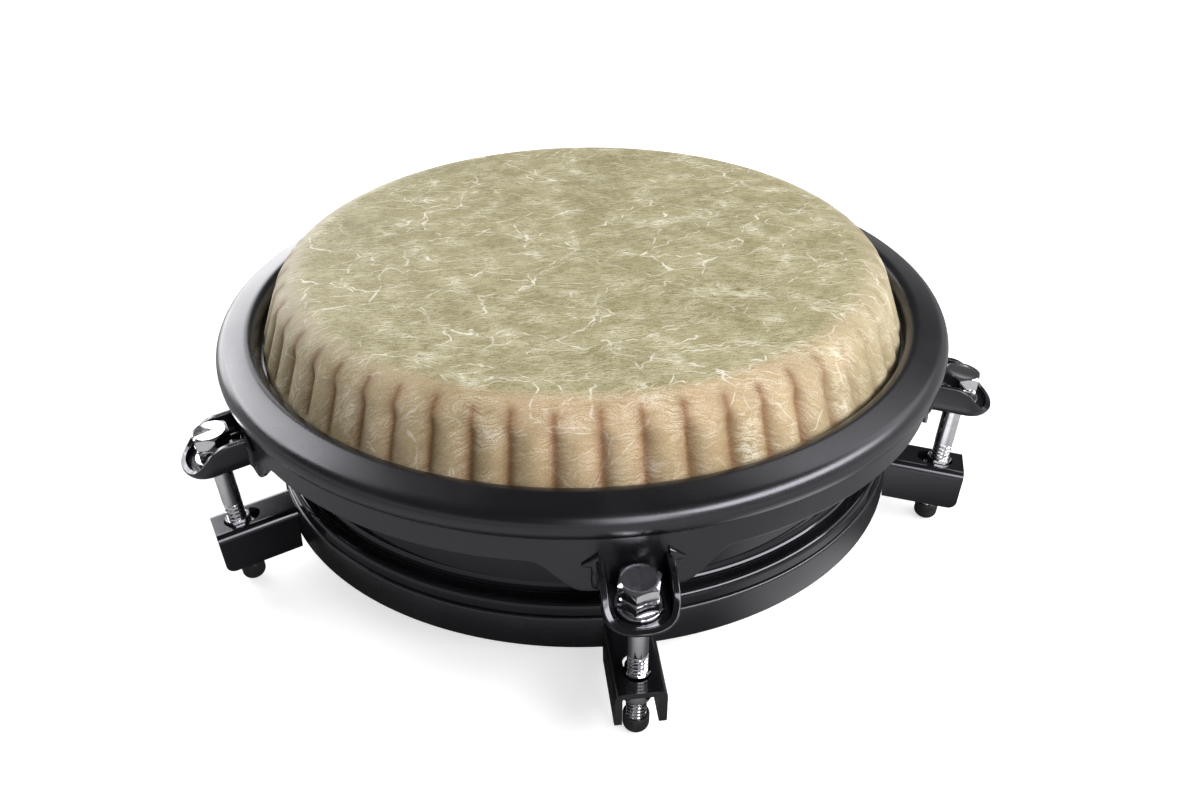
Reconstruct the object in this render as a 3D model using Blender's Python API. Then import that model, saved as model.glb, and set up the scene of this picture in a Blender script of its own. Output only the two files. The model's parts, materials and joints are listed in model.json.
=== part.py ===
import bpy
import bmesh
from math import acos, atan2, cos, hypot, pi, radians, sin, sqrt, tan

# Lengths are in metres, angles in radians, and heights are above the surface that the drum stands on.
SEAT_GAP = 0.0003            # left wherever one piece rests on another
MERGE = 0.000001             # points closer than this are one point
CORNER_STEPS = 2             # facets in a small rounded corner
SMOOTH_ANGLE = radians(35)

# Shell, a short tube on a foot flange
SHELL_RADIUS = 0.1475
SHELL_WALL = 0.0045
SHELL_HEIGHT = 0.0928
FLANGE_WIDTH = 0.0085        # how far the foot stands out past the wall
FLANGE_HEIGHT = 0.0068
FLANGE_ROUND = 0.0030
FLANGE_FILLET = 0.0045
SHELL_SEGMENTS = 60

# Bottom ring, an angle section with its ledge inwards
RING_UNDERSIDE = 0.0243
RING_PROUD = 0.0010          # how far the ring stands out past the shell's flange
RING_HEIGHT = 0.0164
RING_WALL = 0.0035
RING_LEDGE_WIDTH = 0.0150
RING_EDGE = 0.0012           # broken outer edge
RING_SEGMENTS = 60

# Head, one moulded film that fits over the shell
FILM = 0.0010
HEAD_INSET = 0.0004          # the lines of the face and the collar would meet this far inside the shell's wall
HEAD_ROUND = 0.0196          # moulded shoulder between the playing face and the collar
HEAD_ROUND_STEPS = 3
COLLAR_FLARE = 0.0109        # how far the collar spreads on its way down
PLEATS = 53
PLEAT_DEPTH = 0.0032
PLEAT_COLUMNS = 2
PLEAT_RUNOUT = 0.0051        # the pleats die away over this height
PLEAT_END_GAP = 0.0006       # and have gone this far above the flesh hoop

# Flesh hoop, a ring with a groove that holds the film's lower edge
FLESH_WIDTH = 0.0090
FLESH_HEIGHT = 0.0070
FLESH_LIP = 0.0016           # ring material inside the groove
GROOVE_DEPTH = 0.0040
GROOVE_GAP = 0.0006          # from the film to either side of the groove
FLESH_SEGMENTS = 44

# Counterhoop, formed from sheet
HOOP_BELOW_HEAD = 0.0361     # from the playing face down to the nose
HOOP_SHEET = 0.0025
MOUTH_GAP = 0.0020           # from the collar to the hoop's inner leg
HOOP_WIDTH = 0.0207          # from the inner leg out to the nose
HOOP_LEG_DROP = 0.0024       # inner leg's foot, below the nose
CREST_HEIGHT = 0.0090        # above the nose
CREST_ROUND = 0.0058
CREST_STEPS = 3
NOSE_ROUND = 0.0070
NOSE_STEPS = 4
SKIRT_SETBACK = 0.0057       # from the nose in to the skirt
SKIRT_DROP = 0.0200          # below the nose, between lugs
TAB_DROP = 0.0343            # below the nose, at a lug
TAB_HALF_ANGLE = radians(6.6)
SCALLOP_ANGLE = radians(7.3)
HOOP_SEGMENTS = 80

# Lugs, with their bolts' axes this far out from the hoop's skirt and from the bottom ring, the first at -Y
LUG_COUNT = 5
EAR_STANDOFF = 0.0126
BRACKET_STANDOFF = 0.0267

# Ears, folded trays on the hoop's skirt, flush with its lower edge
EAR_SHEET = 0.0028
EAR_HALF_WIDTH = 0.0155
EAR_REACH = 0.0168           # from the bolt axis to the lip
EAR_WALL_HEIGHT = 0.0155
EAR_LIP_HEIGHT = 0.0036
EAR_BEND = 0.0026
EAR_SHOULDER = 0.0035        # the side walls run straight this far past the bolt axis
EAR_LIP_STEPS = 9

# Brackets, inverted channels on the bottom ring
BRACKET_DROP = 0.0050        # top face on the bolt axis, below the ring's ledge
BRACKET_SHEET = 0.0030
BRACKET_HALF_WIDTH = 0.0108
BRACKET_HEIGHT = 0.0212
BRACKET_REACH = 0.0122       # from the bolt axis to the open end
BRACKET_INNER_BEND = 0.0004
BRACKET_CORNER = 0.0040
SLOT_SPARE = 0.0010          # room for the nut's boss at the slot's outer end
SLOT_TRAVEL = 0.0050         # room for it to move inwards
SLOT_END_STEPS = 5

# Bolts
SHANK_RADIUS = 0.0045
THREAD_RELIEF = 0.0003       # from the shank's surface down to the thread's
HEX_FLATS = 0.0163           # across flats
HEAD_TIER = 0.0054           # each of the two tiers of the head
HEAD_GROOVE_WIDTH = 0.0019
HEAD_GROOVE_DEPTH = 0.0009
HEAD_CHAMFER = 0.0009
THREAD_ABOVE = 0.0115        # thread that stands above the bracket
TIP_CHAMFER = 0.0008
BOLT_SIDES = 12
HOLE_GAP = 0.0005            # from the shank to the ear's hole and the washer, and from the nut's boss to the slot

# Washers
WASHER_MARGIN = 0.0005       # past the corners of the bolt's head
WASHER_THICKNESS = 0.0016

# Swivel nuts
NUT_SIDE_GAP = 0.0005        # from the nut to the bracket's side walls
NUT_FLANGE = 0.0022
NUT_HEIGHT = 0.0100
NUT_END_RADIUS = 0.0054
NUT_BOSS_RADIUS = 0.0058
NUT_BOSS_HALF = 0.0050       # from the bolt axis to the boss's flats
NUT_BOSS_RISE = 0.0018       # boss top, above the bracket's top face
NUT_BORE_GAP = 0.0003

# End caps
CAP_WALL = 0.0012
CAP_LENGTH = 0.0095
CAP_DOME = 0.0042
CAP_DOME_STEPS = 3
CAP_BORE_DEPTH = 0.0072
CAP_BORE_GAP = 0.0003

# Each finish has a colour, a roughness and a metallic value
FINISHES = {
    "satin_black": ((0.030, 0.030, 0.033), 0.42, 0.0),
    "gloss_black": ((0.012, 0.012, 0.014), 0.08, 0.0),
    "fibre_film": ((0.50, 0.47, 0.31), 0.50, 0.0),
    "zinc_plate": ((0.62, 0.62, 0.60), 0.35, 1.0),
    "chrome": ((0.78, 0.78, 0.80), 0.12, 1.0),
    "rubber": ((0.020, 0.020, 0.021), 0.70, 0.0),
}

# Radii that follow from the shell's
flange_radius = SHELL_RADIUS + FLANGE_WIDTH
ring_radius = flange_radius + RING_PROUD
head_radius = SHELL_RADIUS - HEAD_INSET
collar_radius = head_radius + COLLAR_FLARE
mouth_radius = collar_radius + MOUTH_GAP
nose_radius = mouth_radius + HOOP_WIDTH
skirt_radius = nose_radius - SKIRT_SETBACK

# The head's shoulder, which rests on the shell's bearing edge
collar_drop = HOOP_BELOW_HEAD + HOOP_LEG_DROP + SEAT_GAP - PLEAT_END_GAP - PLEAT_RUNOUT
collar_slope = atan2(collar_drop, COLLAR_FLARE)
face_radius = head_radius - HEAD_ROUND * tan(collar_slope / 2)
edge_reach = HEAD_ROUND - FILM - SEAT_GAP - SHELL_WALL / 2
edge_offset = SHELL_RADIUS - SHELL_WALL / 2 - face_radius
crown_height = HEAD_ROUND - sqrt(edge_reach ** 2 - edge_offset ** 2) - SHELL_WALL / 2

# Levels that follow from the stack of ring, shell, head and hoop
ring_top = RING_UNDERSIDE + RING_HEIGHT
shell_bottom = ring_top + SEAT_GAP
shell_top = shell_bottom + SHELL_HEIGHT
head_top = shell_top + crown_height
nose_level = head_top - HOOP_BELOW_HEAD
leg_foot = nose_level - HOOP_LEG_DROP
flesh_top = leg_foot - SEAT_GAP
film_foot = flesh_top - GROOVE_DEPTH + SEAT_GAP
ear_level = nose_level - TAB_DROP
bracket_top = ring_top - BRACKET_DROP

# The bolts run from the ears to the brackets, and lean outwards at the top
bolt_circle = ring_radius + BRACKET_STANDOFF
lug_lean = atan2(skirt_radius + EAR_STANDOFF - bolt_circle, ear_level - bracket_top)
thread_radius = SHANK_RADIUS - THREAD_RELIEF
hole_radius = SHANK_RADIUS + HOLE_GAP
slot_half = NUT_BOSS_HALF + HOLE_GAP
hex_corner = HEX_FLATS / sqrt(3.0)

# Distances along a bolt's axis, from the bracket's top face
ear_floor = (ear_level - bracket_top) / cos(lug_lean)
washer_seat = ear_floor + EAR_SHEET + SEAT_GAP
head_seat = washer_seat + WASHER_THICKNESS + SEAT_GAP
nut_seat = -BRACKET_SHEET - SEAT_GAP


def clear_scene():
    for thing in list(bpy.data.objects):
        bpy.data.objects.remove(thing, do_unlink=True)


def make_finish(name):
    colour, roughness, metallic = FINISHES[name]
    material = bpy.data.materials.new(name)
    material.use_nodes = True
    shader = material.node_tree.nodes["Principled BSDF"]
    shader.inputs["Base Color"].default_value = (*colour, 1.0)
    shader.inputs["Roughness"].default_value = roughness
    shader.inputs["Metallic"].default_value = metallic
    return material


def arc(centre, radius, start, end, steps):
    """Points round a centre in a profile plane, from one angle to another."""
    angles = [start + (end - start) * step / steps for step in range(steps + 1)]
    return [(centre[0] + radius * cos(a), centre[1] + radius * sin(a)) for a in angles]


def smooth_step(value):
    value = min(max(value, 0.0), 1.0)
    return value * value * (3.0 - 2.0 * value)


def turn(profile, segments, closed=True):
    """Revolve a profile of (radius, height) points about Z."""
    bm = bmesh.new()
    verts = [bm.verts.new((0.0, -radius, height)) for radius, height in profile]
    edges = [bm.edges.new(pair) for pair in zip(verts, verts[1:])]
    if closed:
        edges.append(bm.edges.new((verts[-1], verts[0])))
    bmesh.ops.spin(bm, geom=verts + edges, cent=(0, 0, 0), axis=(0, 0, 1), angle=2 * pi,
                   steps=segments, use_merge=True)
    bmesh.ops.remove_doubles(bm, verts=bm.verts, dist=MERGE)
    bmesh.ops.dissolve_degenerate(bm, edges=bm.edges, dist=MERGE)
    bmesh.ops.recalc_face_normals(bm, faces=bm.faces)
    return bm


def mill_hexagon(bm):
    """Cut a bolt's turned head back to six flats."""
    for vert in bm.verts:
        if vert.co.z < head_seat - MERGE:
            continue
        for flat in range(6):
            angle = pi * flat / 3
            reach = vert.co.x * cos(angle) + vert.co.y * sin(angle)
            if reach > HEX_FLATS / 2:
                vert.co.xy *= HEX_FLATS / 2 / reach


def face_outwards(bm):
    """Turn an open sheet's faces so that its widest ones face away from the axis."""
    widest = max(bm.faces, key=lambda face: face.calc_center_median().xy.length)
    if widest.normal.xy.dot(widest.calc_center_median().xy) < 0:
        bmesh.ops.reverse_faces(bm, faces=bm.faces)


def mesh_from(bm, name):
    mesh = bpy.data.meshes.new(name)
    bm.to_mesh(mesh)
    bm.free()
    mesh.shade_smooth()
    mesh.set_sharp_from_angle(angle=SMOOTH_ANGLE)
    return mesh


def add_piece(name, mesh, material, parent=None):
    if not mesh.materials:
        mesh.materials.append(material)
    piece = bpy.data.objects.new(name, mesh)
    bpy.context.scene.collection.objects.link(piece)
    piece.parent = parent
    return piece


def thicken(piece, thickness):
    """Give a sheet its wall, inwards from the modelled surface."""
    solidify = piece.modifiers.new("sheet", "SOLIDIFY")
    solidify.thickness = thickness
    solidify.offset = -1.0
    solidify.use_even_offset = True
    solidify.use_rim = True


def cut_mesh(piece, cutter):
    """The mesh of a piece with a cutter's shape taken out, for copies to share."""
    boolean = piece.modifiers.new("cut", "BOOLEAN")
    boolean.operation = "DIFFERENCE"
    boolean.object = cutter
    bpy.context.view_layer.update()
    graph = bpy.context.evaluated_depsgraph_get()
    mesh = bpy.data.meshes.new_from_object(piece.evaluated_get(graph))
    for used in (piece, cutter):
        bpy.data.objects.remove(used, do_unlink=True)
    return mesh


def inward_distance(across, along, radius):
    """In a lug's frame, the place along Y of a cylinder about the drum's axis."""
    return (bolt_circle + along * sin(lug_lean) - sqrt(radius ** 2 - across ** 2)) / cos(lug_lean)


def lug_frames():
    """One empty per lug on its bolt's axis, with Z up the bolt and -Y outwards."""
    frames = []
    for lug in range(LUG_COUNT):
        azimuth = 2 * pi * lug / LUG_COUNT
        frame = bpy.data.objects.new(f"lug_frame_{lug + 1}", None)
        frame.location = (bolt_circle * sin(azimuth), -bolt_circle * cos(azimuth), bracket_top)
        frame.rotation_euler = (lug_lean, 0.0, azimuth)
        bpy.context.scene.collection.objects.link(frame)
        frames.append(frame)
    return frames


def make_bottom_ring(material):
    inner = ring_radius - RING_LEDGE_WIDTH
    profile = [
        (inner, ring_top),
        (ring_radius - RING_EDGE, ring_top),
        (ring_radius, ring_top - RING_EDGE),
        (ring_radius, RING_UNDERSIDE),
        (ring_radius - RING_WALL, RING_UNDERSIDE),
        (ring_radius - RING_WALL, ring_top - RING_WALL),
        (inner, ring_top - RING_WALL),
    ]
    add_piece("bottom_ring", mesh_from(turn(profile, RING_SEGMENTS), "bottom_ring"), material)


def make_shell(material):
    inner = SHELL_RADIUS - SHELL_WALL
    flange_top = shell_bottom + FLANGE_HEIGHT
    half_wall = SHELL_WALL / 2
    fillet_centre = (SHELL_RADIUS + FLANGE_FILLET, flange_top + FLANGE_FILLET)
    rim_centre = (flange_radius - FLANGE_ROUND, flange_top - FLANGE_ROUND)
    bearing_edge = arc((inner + half_wall, shell_top - half_wall), half_wall, pi, 0, CORNER_STEPS)
    fillet = arc(fillet_centre, FLANGE_FILLET, pi, 3 * pi / 2, CORNER_STEPS)
    rim = arc(rim_centre, FLANGE_ROUND, pi / 2, 0, CORNER_STEPS)
    profile = bearing_edge + fillet + rim + [(flange_radius, shell_bottom), (inner, shell_bottom)]
    add_piece("shell", mesh_from(turn(profile, SHELL_SEGMENTS), "shell"), material)


def make_drum_head(material):
    flare_foot = head_top - collar_drop
    shoulder = (face_radius, head_top - HEAD_ROUND)
    rounded = arc(shoulder, HEAD_ROUND, pi / 2, pi / 2 - collar_slope, HEAD_ROUND_STEPS)
    middle = ((rounded[-1][0] + collar_radius) / 2, (rounded[-1][1] + flare_foot) / 2)
    straight = [(collar_radius, level) for level in (flare_foot, flesh_top + PLEAT_END_GAP, film_foot)]
    bm = turn([(0.0, head_top)] + rounded + [middle] + straight, PLEATS * PLEAT_COLUMNS, closed=False)
    face_outwards(bm)
    pleat_angle = 2 * pi / PLEATS
    for vert in bm.verts:
        on_pleat = flare_foot - MERGE <= vert.co.z <= middle[1] + MERGE
        place = (atan2(vert.co.x, -vert.co.y) / pleat_angle) % 1.0
        in_valley = min(place, 1.0 - place) < 0.5 / PLEAT_COLUMNS
        if on_pleat and in_valley:
            vert.co.xy *= 1.0 - PLEAT_DEPTH / vert.co.xy.length
    head = add_piece("drum_head", mesh_from(bm, "drum_head"), material)
    thicken(head, FILM)


def make_flesh_hoop(material):
    groove_outer = collar_radius + GROOVE_GAP
    groove_inner = collar_radius - FILM - GROOVE_GAP
    inner = groove_inner - FLESH_LIP
    outer = inner + FLESH_WIDTH
    profile = [
        (outer, flesh_top),
        (outer, flesh_top - FLESH_HEIGHT),
        (inner, flesh_top - FLESH_HEIGHT),
        (inner, flesh_top),
        (groove_inner, flesh_top),
        (groove_inner, flesh_top - GROOVE_DEPTH),
        (groove_outer, flesh_top - GROOVE_DEPTH),
        (groove_outer, flesh_top),
    ]
    add_piece("flesh_hoop", mesh_from(turn(profile, FLESH_SEGMENTS), "flesh_hoop"), material)


def skirt_drop(azimuth):
    """Depth of the skirt's edge below the nose, deep at each lug."""
    pitch = 2 * pi / LUG_COUNT
    from_lug = abs((azimuth + pitch / 2) % pitch - pitch / 2)
    rise = smooth_step((from_lug - TAB_HALF_ANGLE) / SCALLOP_ANGLE)
    return TAB_DROP + (SKIRT_DROP - TAB_DROP) * rise


def make_counterhoop(material):
    crest_centre = (mouth_radius + CREST_ROUND, nose_level + CREST_HEIGHT - CREST_ROUND)
    nose_centre = (nose_radius - NOSE_ROUND, nose_level)
    # The crest runs into the nose along the line that touches both arcs
    across = nose_centre[0] - crest_centre[0]
    down = nose_centre[1] - crest_centre[1]
    tangent = atan2(down, across) + acos((CREST_ROUND - NOSE_ROUND) / hypot(across, down))
    fold = -acos((skirt_radius - nose_centre[0]) / NOSE_ROUND)
    crest = arc(crest_centre, CREST_ROUND, pi, tangent, CREST_STEPS)
    nose = arc(nose_centre, NOSE_ROUND, tangent, fold, NOSE_STEPS)
    skirt_edge = nose_level - SKIRT_DROP
    profile = [(mouth_radius, leg_foot)] + crest + nose + [(skirt_radius, skirt_edge)]
    bm = turn(profile, HOOP_SEGMENTS, closed=False)
    face_outwards(bm)
    for vert in bm.verts:
        if abs(vert.co.z - skirt_edge) < MERGE:
            vert.co.z = nose_level - skirt_drop(atan2(vert.co.x, -vert.co.y))
    hoop = add_piece("counterhoop", mesh_from(bm, "counterhoop"), material)
    thicken(hoop, HOOP_SHEET)


def ear_outline(inset):
    """Plan of the tray from its left root, round the lip, to its right root."""
    half = EAR_HALF_WIDTH - inset
    reach = EAR_REACH - EAR_SHOULDER - inset
    angles = [pi * step / EAR_LIP_STEPS for step in range(EAR_LIP_STEPS + 1)]
    lip = [(-half * cos(angle), -EAR_SHOULDER - reach * sin(angle)) for angle in angles]
    return [(-half, None)] + lip + [(half, None)]


def ear_wall_height(y):
    """The side walls are tall at the hoop and fall to a low lip."""
    rise = 1.0 if y is None else smooth_step((y + EAR_REACH) / EAR_REACH)
    return EAR_LIP_HEIGHT + (EAR_WALL_HEIGHT - EAR_LIP_HEIGHT) * rise


def make_ear_mesh(material):
    bm = bmesh.new()
    root = skirt_radius + SEAT_GAP

    def row(inset, height_at):
        verts = []
        for x, y in ear_outline(inset):
            height = ear_floor + height_at(y)
            place = inward_distance(x, height, root) if y is None else y
            verts.append(bm.verts.new((x, place, height)))
        return verts

    floor = row(EAR_BEND, lambda y: 0.0)
    bend = row(0.0, lambda y: EAR_BEND)
    top = row(0.0, ear_wall_height)
    for lower, upper in ((floor, bend), (bend, top)):
        for left in range(len(lower) - 1):
            bm.faces.new((lower[left], lower[left + 1], upper[left + 1], upper[left]))
    back = [bm.verts.new((x, inward_distance(x, ear_floor, root), ear_floor))
            for x in (-EAR_HALF_WIDTH / 2, 0.0, EAR_HALF_WIDTH / 2)]
    bm.faces.new(floor[::-1] + back)
    bmesh.ops.recalc_face_normals(bm, faces=bm.faces)
    under = min(bm.faces, key=lambda face: face.calc_center_median().z)
    if under.normal.z > 0:
        bmesh.ops.reverse_faces(bm, faces=bm.faces)
    ear = add_piece("ear", mesh_from(bm, "ear"), material)
    thicken(ear, EAR_SHEET)
    hole_foot = ear_floor - EAR_SHEET
    hole = [(0.0, washer_seat), (hole_radius, washer_seat), (hole_radius, hole_foot), (0.0, hole_foot)]
    drill = add_piece("drill", mesh_from(turn(hole, BOLT_SIDES, closed=False), "drill"), material)
    return cut_mesh(ear, drill)


def make_bracket_mesh(material):
    half = BRACKET_HALF_WIDTH
    bend = BRACKET_SHEET + BRACKET_INNER_BEND
    left = arc((-half + bend, -bend), bend, pi, pi / 2, CORNER_STEPS)
    right = arc((half - bend, -bend), bend, pi / 2, 0, CORNER_STEPS)
    section = [(-half, -BRACKET_HEIGHT)] + left + [(0.0, 0.0)] + right + [(half, -BRACKET_HEIGHT)]
    root = ring_radius + SEAT_GAP
    bm = bmesh.new()
    back = [bm.verts.new((x, inward_distance(x, z, root), z)) for x, z in section]
    front = [bm.verts.new((x, -BRACKET_REACH, z)) for x, z in section]
    for side in range(len(section) - 1):
        bm.faces.new((back[side], back[side + 1], front[side + 1], front[side]))
    bmesh.ops.bevel(bm, geom=[front[0], front[-1]], offset=BRACKET_CORNER, segments=CORNER_STEPS + 1,
                    profile=0.5, affect="VERTICES")
    bmesh.ops.recalc_face_normals(bm, faces=bm.faces)
    upper = max(bm.faces, key=lambda face: face.calc_center_median().z)
    if upper.normal.z < 0:
        bmesh.ops.reverse_faces(bm, faces=bm.faces)
    bracket = add_piece("bracket", mesh_from(bm, "bracket"), material)
    thicken(bracket, BRACKET_SHEET)
    return cut_mesh(bracket, add_piece("slot", mesh_from(slot_prism(), "slot"), material))


def slot_prism():
    """A round-ended radial slot, through the bracket's top wall and a wall's thickness past each face."""
    outer_end = -NUT_BOSS_RADIUS - SLOT_SPARE
    inner_end = NUT_BOSS_RADIUS + SLOT_TRAVEL
    outer = arc((0.0, outer_end + slot_half), slot_half, pi, 2 * pi, SLOT_END_STEPS)
    inner = arc((0.0, inner_end - slot_half), slot_half, 0, pi, SLOT_END_STEPS)
    bm = bmesh.new()
    base = bm.faces.new([bm.verts.new((x, y, -2 * BRACKET_SHEET)) for x, y in outer + inner])
    raised = bmesh.ops.extrude_face_region(bm, geom=[base])["geom"]
    bmesh.ops.translate(bm, vec=(0, 0, 3 * BRACKET_SHEET),
                        verts=[item for item in raised if isinstance(item, bmesh.types.BMVert)])
    bmesh.ops.recalc_face_normals(bm, faces=bm.faces)
    return bm


def cap_profile():
    """Outline of an end cap above its own lowest point, from the dome round to the bore's floor."""
    bore = thread_radius + CAP_BORE_GAP
    radius = bore + CAP_WALL
    bore_floor = CAP_LENGTH - CAP_BORE_DEPTH
    angles = [pi / 2 * step / CAP_DOME_STEPS for step in range(CAP_DOME_STEPS + 1)]
    dome = [(radius * sin(angle), CAP_DOME * (1.0 - cos(angle))) for angle in angles]
    return dome + [(radius, CAP_LENGTH), (bore, CAP_LENGTH), (bore, bore_floor), (0.0, bore_floor)]


def cap_base():
    """Place of a cap's end along the bolt, where its lowest point just meets the standing surface."""
    lowest = min(rise * cos(lug_lean) - radius * sin(lug_lean) for radius, rise in cap_profile())
    return -(bracket_top + lowest) / cos(lug_lean)


def make_cap_mesh():
    base = cap_base()
    profile = [(radius, base + rise) for radius, rise in cap_profile()]
    return mesh_from(turn(profile, BOLT_SIDES, closed=False), "end_cap")


def make_bolt_mesh():
    tip = cap_base() + CAP_LENGTH - CAP_BORE_DEPTH + SEAT_GAP
    lower_tier = head_seat + HEAD_TIER
    upper_tier = lower_tier + HEAD_GROOVE_WIDTH
    head_end = upper_tier + HEAD_TIER
    groove = HEX_FLATS / 2 - HEAD_GROOVE_DEPTH
    profile = [
        (0.0, head_end),
        (hex_corner - 2 * HEAD_CHAMFER, head_end),
        (hex_corner, head_end - HEAD_CHAMFER),
        (hex_corner, upper_tier),
        (groove, upper_tier),
        (groove, lower_tier),
        (hex_corner, lower_tier - HEAD_CHAMFER),
        (hex_corner, head_seat),
        (SHANK_RADIUS, head_seat),
        (SHANK_RADIUS, THREAD_ABOVE),
        (thread_radius, THREAD_ABOVE),
        (thread_radius, tip + TIP_CHAMFER),
        (thread_radius - TIP_CHAMFER, tip),
        (0.0, tip),
    ]
    bm = turn(profile, BOLT_SIDES, closed=False)
    mill_hexagon(bm)
    return mesh_from(bm, "tension_bolt")


def make_washer_mesh():
    radius = hex_corner + WASHER_MARGIN
    top = washer_seat + WASHER_THICKNESS
    profile = [(hole_radius, top), (radius, top), (radius, washer_seat), (hole_radius, washer_seat)]
    return mesh_from(turn(profile, BOLT_SIDES), "washer")


def make_nut_mesh():
    bore = thread_radius + NUT_BORE_GAP
    radius = BRACKET_HALF_WIDTH - BRACKET_SHEET - NUT_SIDE_GAP
    angles = [pi / 2 * step / CORNER_STEPS for step in range(CORNER_STEPS + 1)]
    dome = [(NUT_END_RADIUS + (radius - NUT_END_RADIUS) * cos(angle),
             nut_seat - NUT_FLANGE - (NUT_HEIGHT - NUT_FLANGE) * sin(angle)) for angle in angles]
    profile = [
        (bore, NUT_BOSS_RISE),
        (NUT_BOSS_RADIUS, NUT_BOSS_RISE),
        (NUT_BOSS_RADIUS, nut_seat),
        (radius, nut_seat),
        *dome,
        (bore, nut_seat - NUT_HEIGHT),
    ]
    bm = turn(profile, BOLT_SIDES)
    # The boss has flats that keep it from turning in the slot
    for vert in bm.verts:
        on_boss = vert.co.z >= nut_seat - MERGE and vert.co.xy.length < NUT_BOSS_RADIUS + MERGE
        if on_boss:
            vert.co.x = min(max(vert.co.x, -NUT_BOSS_HALF), NUT_BOSS_HALF)
    return mesh_from(bm, "swivel_nut")


def make_lugs(satin, chrome, rubber):
    meshes = {
        "bracket": (make_bracket_mesh(satin), satin),
        "swivel_nut": (make_nut_mesh(), chrome),
        "ear": (make_ear_mesh(satin), satin),
        "washer": (make_washer_mesh(), chrome),
        "tension_bolt": (make_bolt_mesh(), chrome),
        "end_cap": (make_cap_mesh(), rubber),
    }
    for lug, frame in enumerate(lug_frames(), start=1):
        for name, (mesh, material) in meshes.items():
            add_piece(f"{name}_{lug}", mesh, material, frame)


clear_scene()
satin_black = make_finish("satin_black")
make_bottom_ring(satin_black)
make_shell(make_finish("gloss_black"))
make_drum_head(make_finish("fibre_film"))
make_flesh_hoop(make_finish("zinc_plate"))
make_counterhoop(satin_black)
make_lugs(satin_black, make_finish("chrome"), make_finish("rubber"))
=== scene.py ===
import bpy
import json
import random
from math import acos, atan2, cos, degrees, hypot, pi, radians, sin, sqrt, tan
from mathutils import Matrix, Vector


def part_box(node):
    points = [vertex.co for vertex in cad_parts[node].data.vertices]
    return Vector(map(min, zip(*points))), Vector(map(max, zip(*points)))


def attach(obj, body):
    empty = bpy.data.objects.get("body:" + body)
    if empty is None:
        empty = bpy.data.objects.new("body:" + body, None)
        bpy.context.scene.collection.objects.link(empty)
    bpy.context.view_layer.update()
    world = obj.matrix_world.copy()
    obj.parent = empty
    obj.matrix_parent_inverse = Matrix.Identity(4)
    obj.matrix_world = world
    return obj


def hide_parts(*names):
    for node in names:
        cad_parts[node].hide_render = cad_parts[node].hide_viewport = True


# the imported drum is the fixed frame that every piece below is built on
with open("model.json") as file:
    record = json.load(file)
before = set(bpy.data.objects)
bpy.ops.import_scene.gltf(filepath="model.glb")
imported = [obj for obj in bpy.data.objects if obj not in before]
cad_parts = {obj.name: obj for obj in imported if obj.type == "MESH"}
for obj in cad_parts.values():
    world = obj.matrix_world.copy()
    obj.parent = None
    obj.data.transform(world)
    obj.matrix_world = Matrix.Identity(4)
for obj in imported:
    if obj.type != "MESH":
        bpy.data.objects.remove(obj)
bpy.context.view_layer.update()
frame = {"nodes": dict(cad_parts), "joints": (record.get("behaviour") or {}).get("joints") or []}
lugs = range(1, 6)
mergeDistance = 0.000002
selectDistance = 0.0001
smoothAngle = radians(32)
print("frame loaded with", len(frame["nodes"]), "nodes")


# small tools for selecting, turning and finishing

def makeActive(piece):
    if bpy.context.mode != "OBJECT":
        bpy.ops.object.mode_set(mode="OBJECT")
    bpy.ops.object.select_all(action="DESELECT")
    if piece:
        piece.select_set(True)
        bpy.context.view_layer.objects.active = piece


def editAll(piece):
    makeActive(piece)
    bpy.ops.object.mode_set(mode="EDIT")
    bpy.ops.mesh.select_all(action="SELECT")


def closeSeams(piece):  # merges what a spin leaves double, then points the faces out
    editAll(piece)
    bpy.ops.mesh.remove_doubles(threshold=mergeDistance)
    bpy.ops.mesh.normals_make_consistent(inside=False)
    makeActive(piece)


def flipFaces(piece):
    editAll(piece)
    bpy.ops.mesh.flip_normals()
    makeActive(piece)


def applyModifier(piece, kind, **settings):
    makeActive(piece)
    modifier = piece.modifiers.new(kind.title(), kind)
    for name, value in settings.items():
        setattr(modifier, name, value)
    bpy.ops.object.modifier_apply(modifier=modifier.name)


def thicken(piece, thickness):
    applyModifier(piece, "SOLIDIFY", thickness=thickness, offset=-1.0, use_even_offset=True)


def roundEdges(piece, width, segments=3, angle=40):
    applyModifier(piece, "BEVEL", width=width, segments=segments, limit_method="ANGLE",
                  angle_limit=radians(angle), use_clamp_overlap=True, harden_normals=False)


def cutAway(piece, cutter):
    applyModifier(piece, "BOOLEAN", operation="DIFFERENCE", object=cutter)
    bpy.data.objects.remove(cutter, do_unlink=True)


def shadeSmooth(piece, angle=smoothAngle):
    makeActive(piece)
    bpy.ops.object.shade_smooth_by_angle(angle=angle)


def keepFlats(piece, angle=smoothAngle):  # smooth shading that leaves the wide faces flat
    shadeSmooth(piece, angle)
    applyModifier(piece, "WEIGHTED_NORMAL", keep_sharp=True, weight=80)


def drawLine(name, points):  # one vertex pulled along a row of points
    makeActive(None)
    bpy.ops.mesh.primitive_plane_add(size=0.01)
    piece = bpy.context.object
    piece.name = name
    editAll(piece)
    bpy.ops.mesh.merge(type="CENTER")
    bpy.ops.transform.translate(value=points[0])
    for here, there in zip(points, points[1:]):
        step = Vector(there) - Vector(here)
        bpy.ops.mesh.extrude_vertices_move(TRANSFORM_OT_translate={"value": step})
    return piece


def turnProfile(name, profile, steps):  # (radius, height) points spun about the upright axis
    piece = drawLine(name, [(0.0, -radius, height) for radius, height in profile])
    bpy.ops.mesh.select_all(action="SELECT")
    bpy.ops.mesh.spin(steps=steps, angle=2 * pi, center=(0, 0, 0), axis=(0, 0, 1))
    closeSeams(piece)
    return piece


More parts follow.
